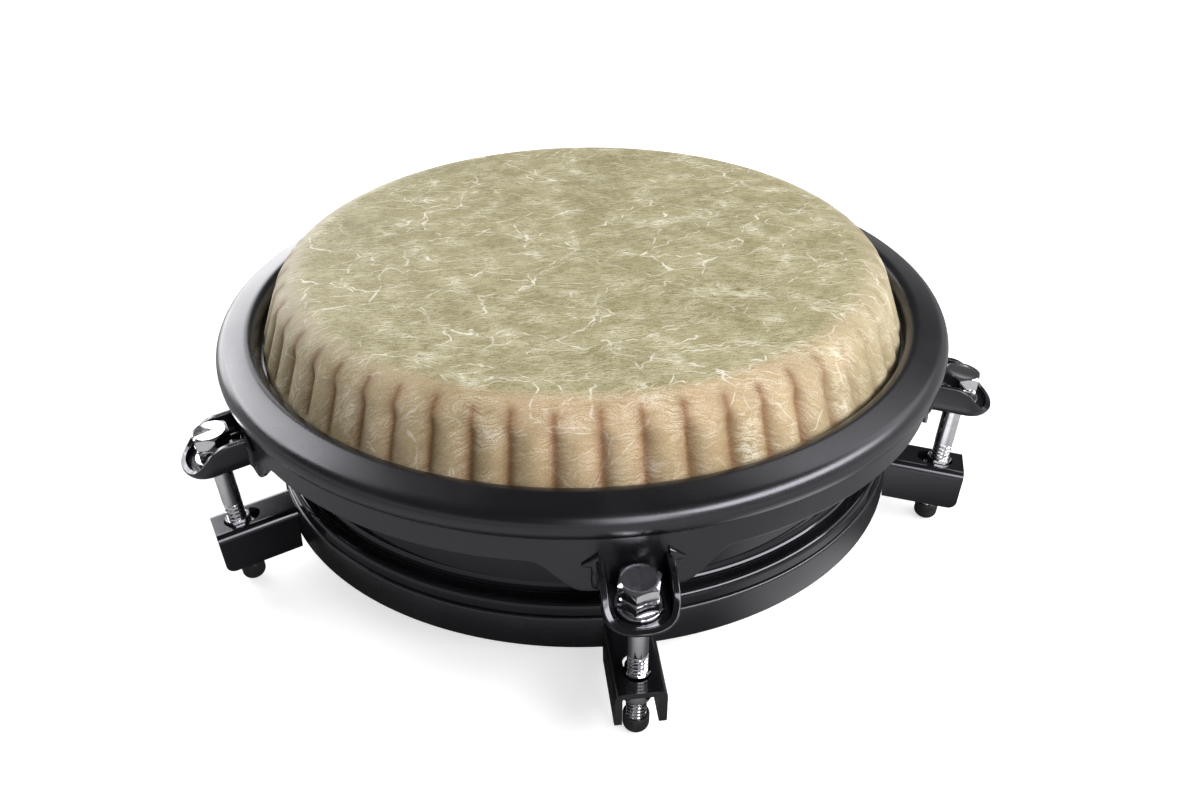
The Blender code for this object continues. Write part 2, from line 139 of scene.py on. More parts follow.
def arcPoints(centre, radius, start, end, steps):  # angles in degrees
    angles = [radians(start + (end - start) * step / steps) for step in range(steps + 1)]
    return [(centre[0] + radius * cos(a), centre[1] + radius * sin(a)) for a in angles]


def quarterTurn(steps):
    return [pi / 2 * step / steps for step in range(steps + 1)]


def smoothStep(value):
    value = min(max(value, 0.0), 1.0)
    return value * value * (3.0 - 2.0 * value)


def azimuthOf(point):  # from the first lug's side, round towards +X
    return atan2(point.x, -point.y)


def settle(piece, material, body, slot, *nodes):
    piece.data.materials.clear()
    piece.data.materials.append(material)
    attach(piece, body)
    if nodes:
        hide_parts(*nodes)


# each lug has its own axes: Z up the bolt, Y in towards the drum, origin on the bracket's top

def lugAxes(lug):
    joint = next(joint for joint in frame["joints"] if joint["name"] == f"bolt_{lug}_turn")
    foot = Vector(joint["pos_m"])
    up = Vector(joint["axis"]).normalized()
    outward = Vector((foot.x, foot.y, 0.0)).normalized()
    inward = -(outward - up * outward.dot(up)).normalized()
    axes = Matrix((inward.cross(up), inward, up)).transposed().to_4x4()
    axes.translation = foot
    return axes


def lugBox(node):  # a CAD node's lowest and highest corner in the first lug's axes
    toLug = lugAxes(1).inverted()
    points = [toLug @ vertex.co for vertex in frame["nodes"][node].data.vertices]
    return [Vector(pick(point[axis] for point in points) for axis in range(3)) for pick in (min, max)]


def inwardTo(radius, across, along):  # place along a lug's Y of a cylinder about the drum's axis
    axes = lugAxes(1)
    lean = acos(axes.col[2].z)
    return (hypot(*axes.translation.xy) + along * sin(lean) - sqrt(radius ** 2 - across ** 2)) / cos(lean)


def copyToLugs(master, name, material, body, slot, node=None, turns=None):
    for lug in lugs:
        piece = master.copy()
        piece.data = master.data.copy()
        piece.name = f"{name}_{lug}"
        bpy.context.scene.collection.objects.link(piece)
        turned = Matrix.Rotation(radians(turns[lug - 1]) if turns else 0.0, 4, "Z")
        piece.data.transform(lugAxes(lug) @ turned)
        settle(piece, material, body.format(lug), slot, *([node.format(lug)] if node else []))
    bpy.data.objects.remove(master, do_unlink=True)


# node tools

def addNode(material, kind, values=None, **settings):
    node = material.node_tree.nodes.new("ShaderNode" + kind)
    for name, value in settings.items():
        setattr(node, name, value)
    for name, value in (values or {}).items():
        plug(material, value, node.inputs[name])
    return node


def plug(material, value, socket):  # a link from another node's socket, or the socket's own value
    if isinstance(value, bpy.types.NodeSocket):
        material.node_tree.links.new(value, socket)
    else:
        socket.default_value = value


def calculate(material, operation, first, second=0.0):
    return addNode(material, "Math", {0: first, 1: second}, operation=operation).outputs[0]


def remap(material, value, fromLow, fromHigh, toLow=0.0, toHigh=1.0):
    values = {0: value, 1: fromLow, 2: fromHigh, 3: toLow, 4: toHigh}
    return addNode(material, "MapRange", values, interpolation_type="SMOOTHSTEP").outputs[0]


def mixColours(material, factor, first, second, blend="MIX"):
    mix = addNode(material, "Mix", data_type="RGBA", blend_type=blend)
    for value, index in ((factor, 0), (first, 6), (second, 7)):
        plug(material, value, mix.inputs[index])
    return mix.outputs[2]


def newFinish(name, **values):
    material = bpy.data.materials.new(name)
    material.use_nodes = True
    shader = material.node_tree.nodes["Principled BSDF"]
    for socket, value in values.items():
        shader.inputs[socket.replace("_", " ")].default_value = value
    return material, shader


def objectNoise(material, size, detail=2.0, roughness=0.5):  # size of the grain in metres
    place = addNode(material, "TexCoord").outputs["Object"]
    values = {"Vector": place, "Scale": 1.0 / size, "Detail": detail, "Roughness": roughness}
    return addNode(material, "TexNoise", values).outputs[0]


def bumpUp(material, shader, height, distance, strength):
    values = {"Height": height, "Distance": distance, "Strength": strength}
    bump = addNode(material, "Bump", values)
    plug(material, bump.outputs[0], shader.inputs["Normal"])


def cloudColours(material, shader, clouds, cut, first, second):  # a slow change from one colour to the other
    shade = remap(material, clouds, *cut)
    plug(material, mixColours(material, shade, first, second), shader.inputs["Base Color"])


# black coats: the first line is shared by all three
coatLooks = dict(
    tint=(0.98, 0.97, 1.07, 1), clouds=0.045, shadeCut=(0.35, 0.65), roughCut=(0.3, 0.7), bump=0.6,
    satin=dict(dark=(0.0048, 0.0047, 0.0056, 1), pale=(0.0078, 0.0076, 0.0090, 1), rough=(0.25, 0.32),
               grain=0.0011, lift=0.00002, sheen=0.8),
    lug=dict(dark=(0.0055, 0.0054, 0.0066, 1), pale=(0.0090, 0.0088, 0.0104, 1), rough=(0.11, 0.18),
             grain=0.0016, lift=0.000015, sheen=0.75),
    gloss=dict(dark=(0.0050, 0.0049, 0.0060, 1), pale=(0.0080, 0.0078, 0.0094, 1), rough=(0.05, 0.10),
               grain=0.0030, lift=0.00001, sheen=0.5),
)


def makeCoat(name, kind):  # sprayed on, with a fine orange peel and a slow change of sheen
    shared, look = coatLooks, coatLooks[kind]
    material, shader = newFinish(name, Specular_IOR_Level=look["sheen"], Specular_Tint=shared["tint"])
    clouds = objectNoise(material, shared["clouds"], detail=3.0)
    peel = objectNoise(material, look["grain"])
    cloudColours(material, shader, clouds, shared["shadeCut"], look["dark"], look["pale"])
    plug(material, remap(material, clouds, *shared["roughCut"], *look["rough"]), shader.inputs["Roughness"])
    bumpUp(material, shader, peel, look["lift"], shared["bump"])
    return material


chromeLook = dict(bright=(0.89, 0.89, 0.92, 1), dull=(0.79, 0.79, 0.83, 1), clouds=0.004, shadeCut=(0.4, 0.7),
                  rough=(0.06, 0.15), roughCut=(0.3, 0.7), scratch=0.0006, drawnOut=(1.0, 1.0, 0.06),
                  lift=0.000008, bump=0.35)


def makeChrome(name, look):
    material, shader = newFinish(name, Metallic=1.0)
    clouds = objectNoise(material, look["clouds"], detail=4.0, roughness=0.6)
    place = addNode(material, "TexCoord").outputs["Object"]
    stretch = addNode(material, "Mapping", {"Vector": place, "Scale": look["drawnOut"]}).outputs[0]
    values = {"Vector": stretch, "Scale": 1.0 / look["scratch"], "Detail": 2.0}
    scratches = addNode(material, "TexNoise", values).outputs[0]
    cloudColours(material, shader, clouds, look["shadeCut"], look["bright"], look["dull"])
    plug(material, remap(material, clouds, *look["roughCut"], *look["rough"]), shader.inputs["Roughness"])
    bumpUp(material, shader, scratches, look["lift"], look["bump"])
    return material


rubberLook = dict(dark=(0.010, 0.010, 0.011, 1), pale=(0.022, 0.022, 0.023, 1), rough=0.55, clouds=0.006,
                  shadeCut=(0.35, 0.65), grain=0.0007, lift=0.00006, bump=0.6)


def makeRubber(name, look):
    material, shader = newFinish(name, Roughness=look["rough"])
    clouds = objectNoise(material, look["clouds"], detail=4.0)
    grain = objectNoise(material, look["grain"], detail=3.0)
    cloudColours(material, shader, clouds, look["shadeCut"], look["dark"], look["pale"])
    bumpUp(material, shader, grain, look["lift"], look["bump"])
    return material


zincLook = dict(bright=(0.60, 0.60, 0.59, 1), dull=(0.42, 0.42, 0.42, 1), spangle=0.004, rough=(0.30, 0.45))


def makeZinc(name, look):
    material, shader = newFinish(name, Metallic=1.0)
    place = addNode(material, "TexCoord").outputs["Object"]
    flakes = addNode(material, "TexVoronoi", {"Vector": place, "Scale": 1.0 / look["spangle"]})
    grey = addNode(material, "SeparateColor", {0: flakes.outputs["Color"]}).outputs[0]
    plug(material, mixColours(material, grey, look["dull"], look["bright"]), shader.inputs["Base Color"])
    plug(material, remap(material, grey, 0.0, 1.0, *look["rough"]), shader.inputs["Roughness"])
    return material


# The film is a mat of pale fibres. Its UV map runs flat from the middle of the head out over the edge
# and down the collar, so that the fibres carry on round the edge. The pattern's sizes are in millimetres.
filmLook = dict(
    span=0.40,                             # metres that the UV map's unit square covers
    gloss=0.2, rough=(0.48, 0.62), lift=0.00006, bump=0.16, feltLift=0.7,
    olive=(0.250, 0.219, 0.103, 1), khaki=(0.320, 0.278, 0.144, 1), pale=(0.600, 0.555, 0.380, 1),
    # tan and cream tint the collar by its side, tan towards the front, as painted light; groove darkens the
    # pleats' folds as painted shade
    white=(0.850, 0.820, 0.700, 1), tan=(1.60, 1.34, 1.52, 1), paleTan=(0.87, 0.74, 0.57, 1),
    cream=(1.38, 1.34, 1.62, 1), paleCream=(0.74, 0.69, 0.53, 1), groove=(0.45, 0.28, 0.19, 1),
    clouds=(46.0, 6.0), clumps=(17.0, 5.0), breaks=(7.0, 3.0), fuzz=(0.8, 2.0),      # size and detail
    felt=dict(angles=(0, 35, 72, 108, 145), size=(6.5, 0.80), cut=(0.57, 0.68), warp=(6.0, 2.4)),
    strands=dict(angles=(12, 47, 75, 104, 133, 170), size=(24.0, 0.75), cut=(0.60, 0.69), warp=(22.0, 7.0)),
    curls=dict(angles=(22, 97, 148), size=(64.0, 26.0), thin=0.015, warp=(34.0, 13.0)),
    layerShift=(0.37, 0.11),               # keeps the layers of fibres from lining up
    # the powers of the collar's painted warm tint towards the front and of the painted shade in the pleats
    collarEdge=(133.5, 142.0), paintedWarmthFalloff=2.2, grooveShadePower=1.6, knotShare=0.60,
    cuts=dict(ground=(0.32, 0.68), speckle=(0.34, 0.66, 0.78, 1.16), feltClumps=(0.34, 0.68, 0.50, 0.85),
              strandClumps=(0.38, 0.66, 0.15, 1.0), strandFray=(0.30, 0.60, 0.25, 1.0),
              curlBreaks=(0.37, 0.60), curlClouds=(0.36, 0.58, 0.35, 1.0), knots=(0.60, 0.76)),
    # shares on the face and on the collar
    shares=dict(speckle=(1.0, 0.45), felt=(0.70, 0.16), strands=(0.75, 0.55), curls=(0.90, 0.60)),
)


def flatNoise(material, place, size, detail=2.0, output=0, roughness=0.55):
    values = {"Vector": place, "Scale": 1.0 / size, "Detail": detail, "Roughness": roughness}
    return addNode(material, "TexNoise", values, noise_dimensions="2D").outputs[output]


def bendPlace(material, place, reach, amount):  # pushes the pattern about, so that straight lines wander
    push = flatNoise(material, place, reach, 3.0, "Color")
    push = addNode(material, "VectorMath", {0: push, 1: (0.5, 0.5, 0.5)}, operation="SUBTRACT").outputs[0]
    push = addNode(material, "VectorMath", {0: push, "Scale": 2.0 * amount}, operation="SCALE").outputs[0]
    return addNode(material, "VectorMath", {0: place, 1: push}, operation="ADD").outputs[0]


def turnPlace(material, place, angle, size):
    shift = [angle * step for step in filmLook["layerShift"]]
    values = {"Vector": place, "Rotation": (0, 0, radians(angle)), "Location": (shift[0], shift[1], 0.0),
              "Scale": (1 / size[0], 1 / size[1], 1.0)}
    return addNode(material, "Mapping", values).outputs[0]


def choppedFibres(material, place, lay):  # drawn-out grains laid across each other at many angles
    bent = bendPlace(material, place, *lay["warp"])
    lines = 0.0
    for angle in lay["angles"]:
        spot = turnPlace(material, bent, angle, lay["size"])
        grain = flatNoise(material, spot, 1.0, 1.0)
        lines = calculate(material, "MAXIMUM", lines, remap(material, grain, *lay["cut"]))
    return lines


def curledFibres(material, place, lay):  # thin winding lines, from the edges of drawn-out cells
    bent = bendPlace(material, place, *lay["warp"])
    lines = 0.0
    for angle in lay["angles"]:
        spot = turnPlace(material, bent, angle, lay["size"])
        cells = addNode(material, "TexVoronoi", {"Vector": spot, "Scale": 1.0}, voronoi_dimensions="2D",
                        feature="DISTANCE_TO_EDGE").outputs["Distance"]
        lines = calculate(material, "MAXIMUM", lines, remap(material, cells, 0.0, lay["thin"], 1.0, 0.0))
    return lines


def makeFilm(name, look):
    material, shader = newFinish(name, Specular_IOR_Level=look["gloss"])
    uv = addNode(material, "UVMap", uv_map="film").outputs[0]
    middle = addNode(material, "VectorMath", {0: uv, 1: (0.5, 0.5, 0.0)}, operation="SUBTRACT").outputs[0]
    millimetres = 1000.0 * look["span"]
    place = addNode(material, "VectorMath", {0: middle, "Scale": millimetres}, operation="SCALE").outputs[0]
    fromMiddle = addNode(material, "VectorMath", {0: place}, operation="LENGTH").outputs["Value"]
    onCollar = remap(material, fromMiddle, *look["collarEdge"])

    def times(first, second):
        return calculate(material, "MULTIPLY", first, second)

    def cut(value, kind):
        return remap(material, value, *look["cuts"][kind])

    def share(kind):  # from the playing face to the collar
        return remap(material, onCollar, 0.0, 1.0, *look["shares"][kind])

    clouds = flatNoise(material, place, *look["clouds"])
    clumps = flatNoise(material, place, *look["clumps"])
    breaks = flatNoise(material, place, *look["breaks"])
    fuzz = flatNoise(material, place, *look["fuzz"])
    felt = choppedFibres(material, place, look["felt"])
    strands = choppedFibres(material, place, look["strands"])
    curls = curledFibres(material, place, look["curls"])
    feltMask = times(felt, cut(clumps, "feltClumps"))
    strandMask = times(strands, times(cut(clumps, "strandClumps"), cut(fuzz, "strandFray")))
    curlMask = times(times(curls, cut(breaks, "curlBreaks")), cut(clouds, "curlClouds"))
    knots = times(cut(clumps, "knots"), felt)

    # the collar is tinted tan at the front and cream at the sides and back: painted light, a warm tint set by
    # the side the collar faces, where the film's own colour is even
    forward = addNode(material, "SeparateXYZ", {0: place}).outputs["Y"]
    forward = calculate(material, "DIVIDE", forward, calculate(material, "MAXIMUM", fromMiddle, 1.0))
    toFront = calculate(material, "MAXIMUM", times(forward, -1.0), 0.0)
    paintedFrontWarmth = calculate(material, "POWER", toFront, look["paintedWarmthFalloff"])
    collarTint = mixColours(material, paintedFrontWarmth, look["cream"], look["tan"])
    collarFibre = mixColours(material, paintedFrontWarmth, look["paleCream"], look["paleTan"])
    fibre = mixColours(material, onCollar, look["pale"], collarFibre)

    # the ground first, then the fibres over it, then painted shade darkening the pleats' folds
    ground = mixColours(material, cut(clouds, "ground"), look["olive"], look["khaki"])
    ground = mixColours(material, share("speckle"), ground, cut(fuzz, "speckle"), "MULTIPLY")
    ground = mixColours(material, onCollar, ground, mixColours(material, 1.0, ground, collarTint, "MULTIPLY"))
    colour = mixColours(material, times(feltMask, share("felt")), ground, fibre)
    colour = mixColours(material, times(strandMask, share("strands")), colour, fibre)
    colour = mixColours(material, times(curlMask, share("curls")), colour, look["white"])
    colour = mixColours(material, times(knots, look["knotShare"]), colour, look["white"])
    # painted shade: the colour is darkened in the pleats' folds, where the groove attribute is high
    grooveShaded = mixColours(material, 1.0, colour, look["groove"], "MULTIPLY")
    groove = addNode(material, "Attribute", attribute_name="groove").outputs["Fac"]
    colour = mixColours(material, calculate(material, "POWER", groove, look["grooveShadePower"]), colour, grooveShaded)
    plug(material, colour, shader.inputs["Base Color"])

    fibres = calculate(material, "MAXIMUM", times(feltMask, look["feltLift"]), strandMask)
    plug(material, remap(material, fibres, 0.0, 1.0, *look["rough"]), shader.inputs["Roughness"])
    bumpUp(material, shader, fibres, look["lift"], look["bump"])
    return material


satinBlack = makeCoat("satinBlackCoat", "satin")
lugBlack = makeCoat("lugBlackCoat", "lug")
glossBlack = makeCoat("glossBlackCoat", "gloss")
chromePlate = makeChrome("chromePlate", chromeLook)
blackRubber = makeRubber("blackRubber", rubberLook)
zincPlate = makeZinc("zincPlate", zincLook)
fibreFilm = makeFilm("fibreFilm", filmLook)
print("finishes made")


# shell: a short tube with a rounded bearing edge and a foot flange
shellSet = dict(wallRadius=0.1475, wall=0.0045, flangeHeight=0.0068, flangeRound=0.0030, fillet=0.0045,
                edge=0.0004, steps=192)


def makeShell(s):
    low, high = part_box("shell")
    inner = s["wallRadius"] - s["wall"]
    flangeTop = low.z + s["flangeHeight"]
    half = s["wall"] / 2
    fillet, bulge, edge = s["fillet"], s["flangeRound"], s["edge"]
    profile = arcPoints((inner + half, high.z - half), half, 180, 0, 8)
    profile += arcPoints((s["wallRadius"] + fillet, flangeTop + fillet), fillet, 180, 270, 8)
    profile += arcPoints((high.x - bulge, flangeTop - bulge), bulge, 90, 0, 8)
    profile += [(high.x, low.z + edge), (high.x - edge, low.z), (inner + edge, low.z)]
    profile += [(inner, low.z + edge), profile[0]]
    shell = turnProfile("drumShell", profile, s["steps"])
    shadeSmooth(shell)
    settle(shell, glossBlack, "drum_body", "gloss_black", "shell")


makeShell(shellSet)


# bottom ring: an angle section with its ledge inwards
ringSet = dict(wall=0.0035, ledge=0.0150, topRound=0.0012, footRound=0.0006, insideRound=0.0010, steps=192)


def makeRing(s):
    low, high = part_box("bottom_ring")
    outer = high.x
    inner = outer - s["ledge"]
    wallInside = outer - s["wall"]
    ledgeUnder = high.z - s["wall"]
    edge, top, inside = s["footRound"], s["topRound"], s["insideRound"]
    profile = [(inner, high.z - edge), (inner + edge, high.z)]
    profile += arcPoints((outer - top, high.z - top), top, 90, 0, 6)
    profile += arcPoints((outer - edge, low.z + edge), edge, 0, -90, 3)
    profile += arcPoints((wallInside + edge, low.z + edge), edge, 270, 180, 3)
    profile += arcPoints((wallInside - inside, ledgeUnder - inside), inside, 0, 90, 3)
    profile += [(inner + edge, ledgeUnder), (inner, ledgeUnder + edge), profile[0]]
    ring = turnProfile("bottomRing", profile, s["steps"])
    shadeSmooth(ring)
    settle(ring, satinBlack, "drum_body", "satin_black", "bottom_ring")


makeRing(ringSet)


# flesh hoop: a zinc plated ring that grips the film's foot
fleshSet = dict(lip=0.0016, width=0.0090, grooveWidth=0.0022, grooveDepth=0.0040, edge=0.0005, steps=160)


def makeFleshHoop(s):
    low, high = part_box("flesh_hoop")
    outer = high.x
    inner = outer - s["width"]
    grooveIn = inner + s["lip"]
    grooveOut = grooveIn + s["grooveWidth"]
    edge = s["edge"]
    profile = arcPoints((outer - edge, high.z - edge), edge, 90, 0, 3)
    profile += arcPoints((outer - edge, low.z + edge), edge, 0, -90, 3)
    profile += arcPoints((inner + edge, low.z + edge), edge, 270, 180, 3)
    profile += arcPoints((inner + edge, high.z - edge), edge, 180, 90, 3)
    grooveFoot = high.z - s["grooveDepth"]
    profile += [(grooveIn, high.z), (grooveIn, grooveFoot), (grooveOut, grooveFoot), (grooveOut, high.z)]
    hoop = turnProfile("fleshHoop", profile + [profile[0]], s["steps"])
    shadeSmooth(hoop)
    settle(hoop, zincPlate, "drum_body", "zinc_plate", "flesh_hoop")


makeFleshHoop(fleshSet)
print("shell, ring and flesh hoop turned")


# tuning hoop: a formed rim with a rounded nose and a scalloped skirt
hoopSet = dict(sheet=0.0025, width=0.0207, mouthGap=0.0020, legDrop=0.0024, crestHeight=0.0090,
               crestRound=0.0058, noseRound=0.0070, setback=0.0057, foldStop=14, foldEase=(0.00025, 0.0004),
               foldRun=0.0012, skirtDrop=0.0200, tabDrop=0.0343, tabAngle=6.6, scallopAngle=7.3,
               edge=0.0008, rows=10, steps=360)


def noseLevel():
    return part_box("counterhoop")[1].z - hoopSet["crestHeight"]


def noseRadius():
    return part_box("drum_head")[1].x + hoopSet["mouthGap"] + hoopSet["width"]


def makeHoop(s):
    nose = noseLevel()
    outer = noseRadius()
    mouth = outer - s["width"]
    skirt = outer - s["setback"]
    crestCentre = (mouth + s["crestRound"], nose + s["crestHeight"] - s["crestRound"])
    noseCentre = (outer - s["noseRound"], nose)
    run = noseCentre[0] - crestCentre[0]
    fall = noseCentre[1] - crestCentre[1]
    bend = (s["crestRound"] - s["noseRound"]) / hypot(run, fall)
    tangent = degrees(atan2(fall, run) + acos(bend))
    fold = -degrees(acos((skirt - noseCentre[0]) / s["noseRound"]))
    foldLevel = nose + s["noseRound"] * sin(radians(fold)) - s["foldRun"]
    edgeLevel = nose - s["skirtDrop"]
    profile = [(mouth, nose - s["legDrop"])]
    profile += arcPoints(crestCentre, s["crestRound"], 180, tangent, 12)
    profile += arcPoints(noseCentre, s["noseRound"], tangent, fold + s["foldStop"], 18)
    profile += [(skirt + s["foldEase"][0], foldLevel + s["foldEase"][1])]
    for row in range(s["rows"] + 1):
        profile.append((skirt, foldLevel + (edgeLevel - foldLevel) * row / s["rows"]))
    hoop = turnProfile("tuningHoop", profile, s["steps"])

    # the skirt's lower edge hangs low at each lug
    pitch = 2 * pi / len(lugs)
    for vertex in hoop.data.vertices:
        if vertex.co.z < foldLevel - mergeDistance and vertex.co.xy.length > (mouth + skirt) / 2:
            share = (foldLevel - vertex.co.z) / (foldLevel - edgeLevel)
            fromLug = abs((azimuthOf(vertex.co) + pitch / 2) % pitch - pitch / 2)
            rise = smoothStep((fromLug - radians(s["tabAngle"])) / radians(s["scallopAngle"]))
            drop = s["tabDrop"] + (s["skirtDrop"] - s["tabDrop"]) * rise
            vertex.co.z = foldLevel + (nose - drop - foldLevel) * share
    editAll(hoop)
    bpy.ops.mesh.normals_make_consistent(inside=False)
    makeActive(hoop)
    widest = max(hoop.data.polygons, key=lambda face: face.center.xy.length)
    if widest.normal.xy.dot(widest.center.xy) < 0:
        flipFaces(hoop)
    thicken(hoop, s["sheet"])
    roundEdges(hoop, s["edge"], angle=60)
    shadeSmooth(hoop)
    settle(hoop, satinBlack, "tuning_hoop", "satin_black", "counterhoop")


makeHoop(hoopSet)
print("hoop formed")


# drum head: a flat playing face, a moulded shoulder and a pleated collar that flares into the hoop
headSet = dict(cornerRadius=0.1471, shoulder=0.0196, faceRings=(0.0, 0.04, 0.08, 0.11), shoulderRows=20,
               collarRows=18, footRows=4, footAboveNose=0.0030, film=0.0010, smooth=60, pleats=53,
               columns=18, creaseStart=0.0009, creaseRise=0.0042, creaseDepth=0.00038, startSpread=0.0006,
               pleatDepth=0.0036, depthRange=(0.78, 1.12), pleatStart=0.0080, pleatRise=0.0085,
               fadeStart=0.0049, fadeOut=0.0045, shallowSide=62, shallow=0.45, shallowSpread=2.2,
               shallowEase=15, firstPleat=0.058, power=2.0, softFold=0.0004, drift=0.05, seed=11)


def makeHead(s):
    low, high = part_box("drum_head")
    collar = high.x
    flareFoot = noseLevel() + s["footAboveNose"]
    slope = atan2(high.z - flareFoot, collar - s["cornerRadius"])
    faceRadius = s["cornerRadius"] - s["shoulder"] * tan(slope / 2)
    shoulderCentre = (faceRadius, high.z - s["shoulder"])
    profile = [(radius, high.z) for radius in s["faceRings"]]
    profile += arcPoints(shoulderCentre, s["shoulder"], 90, 90 - degrees(slope), s["shoulderRows"])
    start = profile[-1]
    for row in range(1, s["collarRows"] + 1):
        share = row / s["collarRows"]
        profile.append((start[0] + (collar - start[0]) * share, start[1] + (flareFoot - start[1]) * share))
    for row in range(1, s["footRows"] + 1):
        profile.append((collar, flareFoot + (low.z - flareFoot) * row / s["footRows"]))
    head = turnProfile("headFilm", profile, s["pleats"] * s["columns"])

    # run of the film from the middle, at each row's level
    runs = [0.0]
    for (r0, z0), (r1, z1) in zip(profile, profile[1:]):
        runs.append(runs[-1] + hypot(r1 - r0, z1 - z0))
    levels = [point[1] for point in profile]

    def runAt(radius, height):
        if height > high.z - mergeDistance:
            return radius
        row = min(range(len(levels)), key=lambda index: abs(levels[index] - height))
        return runs[row]

    # each pleat drifts, deepens and starts a little differently
    dice = random.Random(s["seed"])
    drifts = [dice.uniform(-1, 1) * s["drift"] for pleat in range(s["pleats"])]
    depths = [dice.uniform(*s["depthRange"]) for pleat in range(s["pleats"])]
    starts = [dice.uniform(-1, 1) * s["startSpread"] for pleat in range(s["pleats"])]
    mesh = head.data
    grooves = mesh.attributes.new("groove", "FLOAT", "POINT")
    flat = []
    for vertex in mesh.vertices:
        azimuth = azimuthOf(vertex.co)
        run = runAt(vertex.co.xy.length, vertex.co.z) / filmLook["span"]
        flat.append((0.5 + run * sin(azimuth), 0.5 - run * cos(azimuth)))
        place = azimuth / (2 * pi) * s["pleats"] + s["firstPleat"]
        pleat = int(place // 1) % s["pleats"]
        across = place % 1.0 - 0.5 - drifts[pleat] * cos(pi * (place % 1.0 - 0.5)) ** 2
        drop = high.z - vertex.co.z
        aside = abs(degrees(azimuth) - s["shallowSide"]) / s["shallowEase"]
        fade = smoothStep((vertex.co.z - low.z - s["fadeStart"]) / s["fadeOut"])
        fade *= 1.0 - s["shallow"] * smoothStep(s["shallowSpread"] - aside)
        crease = smoothStep((drop - s["creaseStart"] - starts[pleat]) / s["creaseRise"]) * fade
        rise = smoothStep((drop - s["pleatStart"]) / s["pleatRise"]) * fade
        valley = (1.0 - 2.0 * min(sqrt(across ** 2 + s["softFold"]), 0.5)) ** s["power"]
        depth = s["creaseDepth"] * crease * valley ** 2
        depth += (s["pleatDepth"] * depths[pleat] - s["creaseDepth"]) * rise * valley
        # the groove attribute marks the folds for the film's painted shade
        grooves.data[vertex.index].value = valley * crease
        if depth > 0.0:
            vertex.co.xy *= 1.0 - depth / vertex.co.xy.length
    layer = mesh.uv_layers.new(name="film")
    for loop in mesh.loops:
        layer.data[loop.index].uv = flat[loop.vertex_index]
    thicken(head, s["film"])
    shadeSmooth(head, radians(s["smooth"]))
    settle(head, fibreFilm, "drum_body", "fibre_film", "drum_head")


makeHead(headSet)
print("head pleated")


# ears: pressed trays with tall side walls that fall in a curve to a rolled lip
earSet = dict(sheet=0.0028, bend=0.0050, shoulder=0.0035, lipHeight=0.0040, wallHeight=0.0155, fall=0.0030,
              power=2.25, rootGap=0.0001, wallCuts=8, lipCuts=36, sectionCuts=10, holeRadius=0.0050,
              holeSides=48, holeDepth=0.012, edge=0.0011)


def makeEar(s):
    low, high = lugBox("ear_1")
    floor = low.z
    half = high.x
    reach = -low.y
    bend, shoulder = s["bend"], s["shoulder"]
    root = noseRadius() - hoopSet["setback"] + s["rootGap"]
    lip = []
    for cut in range(s["lipCuts"] + 1):
        angle = pi * cut / s["lipCuts"]
        x = -half * (abs(cos(angle)) ** (2 / s["power"])) * (1 if cos(angle) > 0 else -1)
        y = -shoulder - (reach - shoulder) * sin(angle) ** (2 / s["power"])
        lip.append((x, y))

    # columns of the wall: across, along where it is on the lip, share of the way to the root, and its facing
    shares = [1.0 - cut / s["wallCuts"] for cut in range(s["wallCuts"])]
    columns = [(-half, None, share, (-1.0, 0.0)) for share in shares]
    for index, (x, y) in enumerate(lip):
        before, after = lip[max(index - 1, 0)], lip[min(index + 1, len(lip) - 1)]
        along = Vector((after[0] - before[0], after[1] - before[1])).normalized()
        columns.append((x, y, 0.0, (along.y, -along.x)))
    columns += [(half, None, share, (1.0, 0.0)) for share in reversed(shares)]

    def wallHeight(y):  # level from the root to just inside the bolt, then down to the lip
        rise = smoothStep((y + reach) / (reach + s["fall"]))
        return s["lipHeight"] + (s["wallHeight"] - s["lipHeight"]) * rise

    def toRoot(x, level, share):
        return -shoulder + (inwardTo(root, x, level) + shoulder) * share

    makeActive(None)
    bpy.ops.mesh.primitive_grid_add(x_subdivisions=len(columns) - 1, y_subdivisions=s["sectionCuts"],
                                    size=2 * half)
    ear = bpy.context.object
    ear.name = "earPressing"
    quarter = bend * pi / 2
    for index, vertex in enumerate(ear.data.vertices):  # each column runs round the bend and up the wall
        row, column = divmod(index, len(columns))
        x, y, share, facing = columns[column]
        height = wallHeight(toRoot(x, floor, share) if y is None else y)
        length = quarter + height - bend if height > bend else bend * acos(1.0 - height / bend)
        run = length * row / s["sectionCuts"]
        inset, level = 0.0, floor + bend + run - quarter
        if run < quarter:
            inset = bend * (1.0 - sin(run / bend))
            level = floor + bend * (1.0 - cos(run / bend))
        x -= facing[0] * inset
        y = toRoot(x, level, share) if y is None else y - facing[1] * inset
        vertex.co = (x, y, level)
    firstRow = range(len(columns))
    makeActive(ear)
    for vertex in ear.data.vertices:
        vertex.select = vertex.index in firstRow
    for edge in ear.data.edges:
        edge.select = all(index in firstRow for index in edge.vertices)
    for face in ear.data.polygons:
        face.select = False
    bpy.ops.object.mode_set(mode="EDIT")
    bpy.ops.mesh.edge_face_add()
    closeSeams(ear)
    under = min(ear.data.polygons, key=lambda face: face.center.z)
    if under.normal.z > 0:
        flipFaces(ear)
    thicken(ear, s["sheet"])
    bpy.ops.mesh.primitive_cylinder_add(vertices=s["holeSides"], radius=s["holeRadius"], depth=s["holeDepth"],
                                        location=(0, 0, floor))
    cutAway(ear, bpy.context.object)
    roundEdges(ear, s["edge"], angle=50)
    keepFlats(ear)
    weldRoot = inwardTo(root, half, floor + s["wallHeight"] / 2)
    for side in (-1, 1):
        addWeld(ear, weldSet, side * half, weldRoot, floor, floor + s["wallHeight"], side)
    copyToLugs(ear, "earPressing", lugBlack, "tuning_hoop", "satin_black", "ear_{}")


